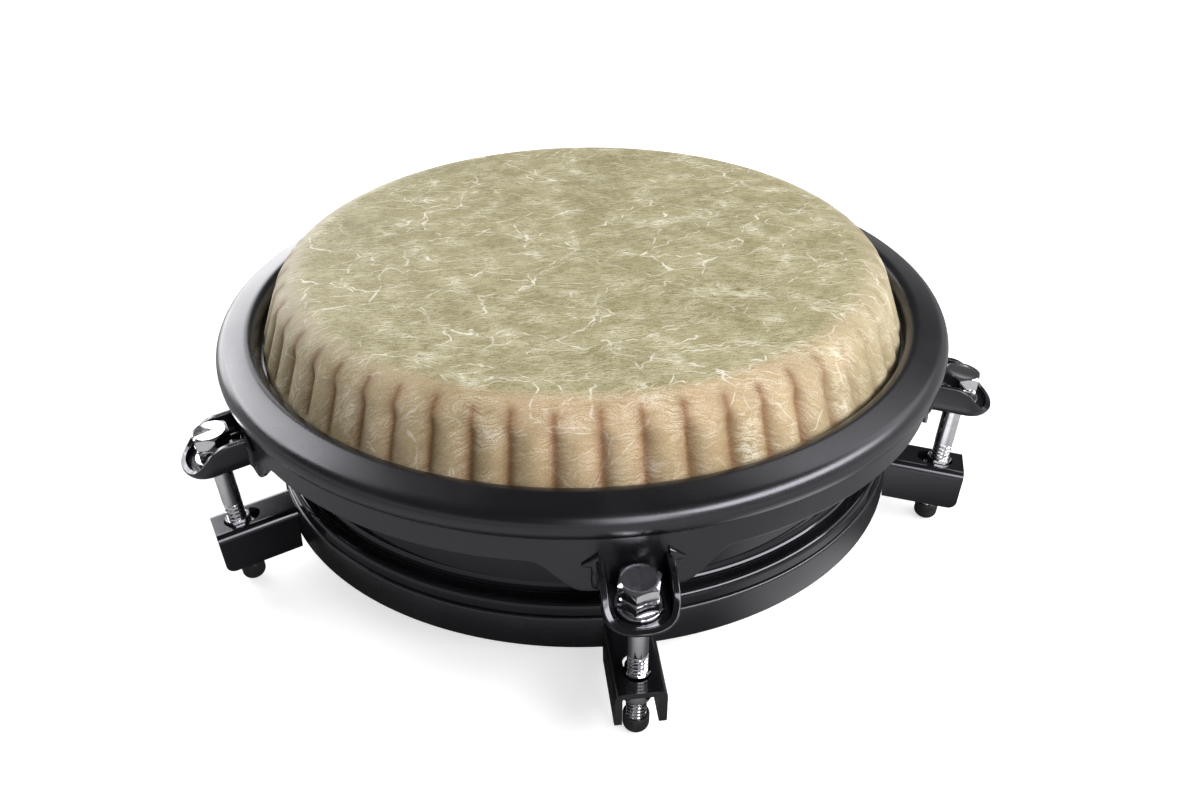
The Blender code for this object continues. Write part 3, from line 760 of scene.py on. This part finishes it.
# welds: a bead up each side of an ear's root, with a drawn-out run at its top
weldSet = dict(bead=0.0021, lumps=9, lumpRange=(0.85, 1.2), seed=7, wing=0.0070, wingHeight=0.0040,
               wingTip=0.0003, wingFall=0.0022, wingThin=0.55, wingSink=0.0012, wingIn=0.0004, edge=0.0004)


def addWeld(ear, s, x, y, floor, top, side):
    makeActive(None)
    bpy.ops.mesh.primitive_uv_sphere_add(segments=24, ring_count=14, radius=1.0)
    bead = bpy.context.object
    dice = random.Random(s["seed"] + side)
    lumps = [dice.uniform(*s["lumpRange"]) for lump in range(s["lumps"])]
    for vertex in bead.data.vertices:
        swell = lumps[int((vertex.co.z + 1.0) * (s["lumps"] // 2))]
        vertex.co = (x + vertex.co.x * s["bead"] * swell, y + vertex.co.y * s["bead"] * swell,
                     (floor + top) / 2 + vertex.co.z * (top - floor + s["bead"]) / 2)
    bpy.ops.mesh.primitive_cone_add(vertices=24, radius1=s["wingHeight"], radius2=s["wingTip"],
                                    depth=s["wing"])
    wing = bpy.context.object
    for vertex in wing.data.vertices:
        out = vertex.co.z + s["wing"] / 2
        drop = s["wingFall"] * (out / s["wing"]) ** 2
        wide, tall = vertex.co.x, vertex.co.y
        vertex.co = (x + side * (out - s["wingSink"]), y + wide * s["wingThin"] + s["wingIn"],
                     top - s["wingSink"] + tall - drop)
    closeSeams(wing)
    roundEdges(wing, s["edge"], segments=2, angle=30)
    for piece in (bead, wing):
        shadeSmooth(piece)
    for piece in (bead, wing, ear):
        piece.select_set(True)
    bpy.context.view_layer.objects.active = ear
    bpy.ops.object.join()


makeEar(earSet)
print("ears pressed")


# brackets: channels welded to the ring, open at the outer end, with a slot for the bolt
bracketSet = dict(sheet=0.0030, bend=0.0036, corner=0.0042, cornerSteps=6, toRing=0.0285, rootGap=0.0001,
                  slotHalf=0.0055, slotOut=0.0068, slotIn=0.0108, slotSides=48, slotDepth=0.012,
                  edge=0.0009, rows=6)


def makeBracket(s):
    low, high = lugBox("bracket_1")
    half = high.x
    foot = low.z
    reach = -low.y
    bend = s["bend"]
    length = reach + s["toRing"]
    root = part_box("bottom_ring")[1].x + s["rootGap"]
    section = [(-half, foot)] + arcPoints((-half + bend, -bend), bend, 180, 90, 7)
    section += arcPoints((half - bend, -bend), bend, 90, 0, 7) + [(half, foot)]
    bracket = drawLine("bracketChannel", [(x, -reach, z) for x, z in section])
    bpy.ops.mesh.select_all(action="SELECT")
    for row in range(s["rows"]):
        bpy.ops.mesh.extrude_region_move(TRANSFORM_OT_translate={"value": (0, length / s["rows"], 0)})
    makeActive(bracket)
    for vertex in bracket.data.vertices:  # the inner end follows the ring
        share = (vertex.co.y + reach) / length
        vertex.co.y = -reach + (inwardTo(root, vertex.co.x, vertex.co.z) + reach) * share
    for vertex in bracket.data.vertices:  # the lower outer corners are rounded
        vertex.select = vertex.co.y < -reach + selectDistance and vertex.co.z < foot + selectDistance
    for item in list(bracket.data.edges) + list(bracket.data.polygons):
        item.select = False
    bpy.ops.object.mode_set(mode="EDIT")
    bpy.ops.mesh.bevel(offset=s["corner"], segments=s["cornerSteps"], affect="VERTICES")
    closeSeams(bracket)
    top = max(bracket.data.polygons, key=lambda face: face.center.z)
    if top.normal.z < 0:
        flipFaces(bracket)
    thicken(bracket, s["sheet"])
    cutAway(bracket, makeSlot(s))
    roundEdges(bracket, s["edge"], angle=50)
    keepFlats(bracket)
    copyToLugs(bracket, "bracketChannel", lugBlack, "drum_body", "satin_black", "bracket_{}")


def makeSlot(s):  # a round-ended block, from a cylinder whose inner half is drawn inwards
    makeActive(None)
    bpy.ops.mesh.primitive_cylinder_add(vertices=s["slotSides"], radius=s["slotHalf"], depth=s["slotDepth"])
    slot = bpy.context.object
    outer = -s["slotOut"] + s["slotHalf"]
    inner = s["slotIn"] - s["slotHalf"]
    for vertex in slot.data.vertices:
        vertex.co.y += inner if vertex.co.y > mergeDistance else outer
    return slot


makeBracket(bracketSet)
print("brackets folded")


# tension bolts: a two-tier hex head, a plain shank and a rolled thread, drawn coarse so that it shows
boltSet = dict(shank=0.0045, thread=0.00442, threadDeep=0.00085, pitch=0.0021, threadAbove=0.0115,
               runOut=0.0006, tip=0.0010, tipIn=0.0009, flats=0.0163, tier=0.0054, groove=0.0019,
               grooveDeep=0.0009, lip=0.0004, dishDeep=0.0002, dishIn=0.0022, dishEdge=0.0014,
               crownIn=0.0004, chamfer=0.0012, chamferSlope=0.6, rowsPerTurn=12, sides=48, smooth=16,
               turns=(-16, 20, 5, -10, 33))


def makeBolt(s):
    low, high = lugBox("tension_bolt_1")
    flat = s["flats"] / 2
    corner = s["flats"] / sqrt(3.0)
    crown = flat - s["crownIn"]
    waist = flat - s["grooveDeep"]
    lip, chamfer = s["lip"], s["chamfer"]
    upper = high.z - s["tier"]
    lower = upper - s["groove"]
    seat = lower - s["tier"]
    dish = high.z - s["dishDeep"]
    crownLevels = (high.z, lower + lip)
    profile = [(0.0, dish), (flat - s["dishIn"], dish), (flat - s["dishEdge"], high.z), (crown, high.z)]
    profile += [(corner, high.z - chamfer), (corner, upper - lip), (corner - lip, upper - 2 * lip)]
    profile += [(waist, upper - 2 * lip), (waist, lower + lip), (crown, lower + lip)]
    profile += [(corner, lower + lip - chamfer), (corner, seat + lip), (corner - lip, seat)]
    threadTop, threadEnd = s["threadAbove"], low.z + s["tip"]
    profile += [(s["shank"], seat), (s["shank"], threadTop + s["runOut"])]
    rows = int((threadTop - threadEnd) / s["pitch"] * s["rowsPerTurn"])
    for row in range(rows + 1):
        profile.append((s["thread"], threadTop - (threadTop - threadEnd) * row / rows))
    profile += [(s["thread"] - s["tipIn"], low.z), (0.0, low.z)]
    bolt = turnProfile("tensionBolt", profile, s["sides"])
    flatAngles = [pi * side / 3 for side in range(6)]
    for vertex in bolt.data.vertices:
        z = vertex.co.z
        if z > seat - mergeDistance:
            radius = vertex.co.xy.length
            if radius > flat:  # a ring of the hexagon, its chamfer cut as a cone
                reach = max(vertex.co.x * cos(angle) + vertex.co.y * sin(angle) for angle in flatAngles)
                vertex.co.xy *= radius * cos(pi / 6) / reach
                for level in crownLevels:
                    if abs(z - level + chamfer) < mergeDistance:
                        vertex.co.z = level - s["chamferSlope"] * (vertex.co.xy.length - crown)
        elif threadEnd - mergeDistance <= z <= threadTop + mergeDistance:  # grooves between wide crests
            turn = (z / s["pitch"] - azimuthOf(vertex.co) / (2 * pi)) % 1.0
            groove = max(2.0 * abs(2.0 * turn - 1.0) - 1.0, 0.0)
            ends = smoothStep((threadTop - z) / s["pitch"])
            vertex.co.xy *= 1.0 - s["threadDeep"] * groove * ends / s["thread"]
    shadeSmooth(bolt, radians(s["smooth"]))
    copyToLugs(bolt, "tensionBolt", chromePlate, "bolt_{}", "chrome", "tension_bolt_{}", s["turns"])


makeBolt(boltSet)


# washers under the bolt heads
washerSet = dict(bore=0.0050, edge=0.0005, boreEdge=0.0002, sides=64)


def makeWasher(s):
    low, high = lugBox("washer_1")
    outer = high.x
    bore, edge, small = s["bore"], s["edge"], s["boreEdge"]
    profile = arcPoints((outer - edge, high.z - edge), edge, 90, 0, 4)
    profile += arcPoints((outer - edge, low.z + edge), edge, 0, -90, 4)
    profile += [(bore + small, low.z), (bore, low.z + small), (bore, high.z - small)]
    profile += [(bore + small, high.z), profile[0]]
    washer = turnProfile("flatWasher", profile, s["sides"])
    shadeSmooth(washer)
    copyToLugs(washer, "flatWasher", chromePlate, "tuning_hoop", "chrome", "washer_{}")


makeWasher(washerSet)


# swivel nuts: a dome under each bracket, drawn down below the CAD nut's, and a flat-sided boss up in the slot
nutSet = dict(bore=0.0045, flange=0.0022, drawnDown=0.0024, endRadius=0.0054, bossRadius=0.0058,
              bossHalf=0.0050, seatGap=0.0003, edge=0.0003, domeSteps=8, sides=64)


def makeNut(s):
    low, high = lugBox("swivel_nut_1")
    outer = -low.y
    foot = low.z - s["drawnDown"]
    seat = -bracketSet["sheet"] - s["seatGap"]
    flangeFoot = seat - s["flange"]
    bore, end, boss, edge = s["bore"], s["endRadius"], s["bossRadius"], s["edge"]
    profile = [(bore, high.z), (boss - edge, high.z), (boss, high.z - edge)]
    profile += [(boss, seat), (outer - edge, seat), (outer, seat - edge)]
    for angle in quarterTurn(s["domeSteps"]):
        profile.append((end + (outer - end) * cos(angle), flangeFoot + (foot - flangeFoot) * sin(angle)))
    profile += [(bore + edge, foot), (bore, foot + edge), profile[0]]
    nut = turnProfile("swivelNut", profile, s["sides"])
    for vertex in nut.data.vertices:
        if vertex.co.z > seat - mergeDistance and vertex.co.xy.length < boss + mergeDistance:
            vertex.co.x = min(max(vertex.co.x, -s["bossHalf"]), s["bossHalf"])
    shadeSmooth(nut)
    copyToLugs(nut, "swivelNut", chromePlate, "nut_{}", "chrome", "swivel_nut_{}")


makeNut(nutSet)


# rubber caps on the bolts' ends
capSet = dict(bore=0.0045, dome=0.0042, boreDepth=0.0072, rim=0.0006, mouth=0.0002, domeSteps=12, sides=64)


def makeCap(s):
    low, high = lugBox("end_cap_1")
    radius = high.x
    turns = quarterTurn(s["domeSteps"])
    profile = [(radius * sin(angle), low.z + s["dome"] * (1.0 - cos(angle))) for angle in turns]
    profile += arcPoints((radius - s["rim"], high.z - s["rim"]), s["rim"], 0, 90, 4)
    floor = high.z - s["boreDepth"]
    profile += [(s["bore"], high.z - s["mouth"]), (s["bore"], floor), (0.0, floor)]
    cap = turnProfile("endCap", profile, s["sides"])
    shadeSmooth(cap)
    copyToLugs(cap, "endCap", blackRubber, "bolt_{}", "rubber", "end_cap_{}")


makeCap(capSet)
print("bolts, washers, nuts and caps turned")


# floor and studio: distances on the floor are from under the middle of the drum, or from the pool of light
stageSet = dict(floorSize=14.0, floorColour=(0.80, 0.80, 0.80, 1), floorGlow=0.62, farGlow=0.95,
                farReach=(0.6, 2.0), mirroredNear=0.10, mirroredFar=0.46, mirroredReach=(0.18, 0.25),
                poolPlace=(0.125, -0.145, 0.0), poolReach=(0.02, 0.08), poolGlow=0.9, ambient=0.12,
                horizon=0.70, overhead=0.07, horizonTop=0.40)


def makeStage(s):
    makeActive(None)
    bpy.ops.mesh.primitive_plane_add(size=s["floorSize"])
    floor = bpy.context.object
    floor.name = "paleFloor"
    material, shader = newFinish("paleFloor", Roughness=0.9, Specular_IOR_Level=0.0)
    rays = addNode(material, "LightPath")
    place = addNode(material, "TexCoord").outputs["Object"]
    fromDrum = addNode(material, "VectorMath", {0: place}, operation="LENGTH").outputs["Value"]
    # painted shadow: as the gloss sees it, the floor is darker near the drum
    mirroredShadow = remap(material, fromDrum, *s["mirroredReach"], s["mirroredNear"], s["mirroredFar"])
    colour = mixColours(material, rays.outputs["Is Glossy Ray"], s["floorColour"], mirroredShadow)
    plug(material, colour, shader.inputs["Base Color"])
    shader.inputs["Emission Color"].default_value = (1, 1, 1, 1)
    glow = remap(material, fromDrum, *s["farReach"], s["floorGlow"], s["farGlow"])  # more as the lamps fade
    seen = calculate(material, "MULTIPLY", rays.outputs["Is Camera Ray"], glow)
    # a painted pool of light that only the gloss shows
    toPool = addNode(material, "VectorMath", {0: place, 1: s["poolPlace"]}, operation="DISTANCE")
    pool = remap(material, toPool.outputs["Value"], *s["poolReach"], s["poolGlow"], 0.0)
    mirrored = calculate(material, "MULTIPLY", rays.outputs["Is Glossy Ray"], pool)
    plug(material, calculate(material, "ADD", seen, mirrored), shader.inputs["Emission Strength"])
    floor.data.materials.append(material)

    # the studio: white behind the drum, a dark ceiling in the reflections
    world = bpy.context.scene.world or bpy.data.worlds.new("studio")
    bpy.context.scene.world = world
    world.use_nodes = True
    sky = world.node_tree.nodes["Background"]
    sky.inputs["Color"].default_value = (1, 1, 1, 1)
    rays = addNode(world, "LightPath")
    upward = addNode(world, "SeparateXYZ", {0: addNode(world, "TexCoord").outputs["Generated"]}).outputs["Z"]
    mirrored = remap(world, upward, 0.0, s["horizonTop"], s["horizon"], s["overhead"])
    light = addNode(world, "Mix", {0: rays.outputs["Is Glossy Ray"], 2: s["ambient"], 3: mirrored}).outputs[0]
    light = addNode(world, "Mix", {0: rays.outputs["Is Camera Ray"], 2: light, 3: 1.0}).outputs[0]
    plug(world, light, sky.inputs["Strength"])


lampSet = (
    dict(name="backLeftPanel", place=(-0.75, 1.15, 0.42), aim=(-0.05, 0, 0.10), size=(1.2, 0.8), watts=12.5),
    dict(name="leftPanel", place=(-0.83, 0.60, 0.86), aim=(-0.05, 0, 0.09), size=(0.8, 0.6), watts=7.2),
    dict(name="keyPanel", place=(0.95, -0.72, 0.88), aim=(0, 0, 0.09), size=(1.5, 0.45), watts=22.0),
    dict(name="rightPanel", place=(1.07, 0.19, 0.80), aim=(0, 0, 0.09), size=(0.7, 0.5), watts=2.0),
    dict(name="backRightPanel", place=(0.71, 0.44, 1.10), aim=(0, 0, 0.09), size=(0.6, 0.45), watts=1.7),
    dict(name="frontStrip", place=(0.17, -1.20, 0.72), aim=(0, 0, 0.09), size=(0.28, 0.7), watts=4.0),
)


def makeLamps(lamps):
    for lamp in lamps:
        makeActive(None)
        bpy.ops.object.light_add(type="AREA", location=lamp["place"])
        light = bpy.context.object
        light.name = lamp["name"]
        facing = Vector(lamp["aim"]) - Vector(lamp["place"])
        light.rotation_euler = facing.to_track_quat("-Z", "Y").to_euler()
        light.data.shape = "RECTANGLE"
        light.data.size, light.data.size_y = lamp["size"]
        light.data.energy = lamp["watts"]


# the photograph's view, measured on the hoop
viewSet = dict(azimuth=-6.19, elevation=28.148, roll=-1.182, distance=0.6605, lens=39.012, sensor=36.0,
               centre=(581.44, 311.48), frameSize=(1200, 800), nearest=0.01)


def makeCamera(s):
    makeActive(None)
    aim = Vector((0.0, 0.0, noseLevel()))
    azimuth, elevation = radians(s["azimuth"]), radians(s["elevation"])
    back = Vector((sin(azimuth) * cos(elevation), -cos(azimuth) * cos(elevation), sin(elevation)))
    bpy.ops.object.camera_add(location=aim + back * s["distance"])
    camera = bpy.context.object
    facing = (-back).to_track_quat("-Z", "Y").to_matrix()
    camera.rotation_euler = (facing @ Matrix.Rotation(radians(s["roll"]), 3, "Z")).to_euler()
    camera.data.sensor_width = s["sensor"]
    camera.data.lens = s["lens"]
    wide, tall = s["frameSize"]
    camera.data.shift_x = (wide / 2 - s["centre"][0]) / wide
    camera.data.shift_y = (s["centre"][1] - tall / 2) / wide
    camera.data.clip_start = s["nearest"]
    bpy.context.scene.camera = camera


makeStage(stageSet)
makeLamps(lampSet)
makeCamera(viewSet)
bpy.context.scene.view_settings.view_transform = "Standard"
print("stage, lamps and camera set")
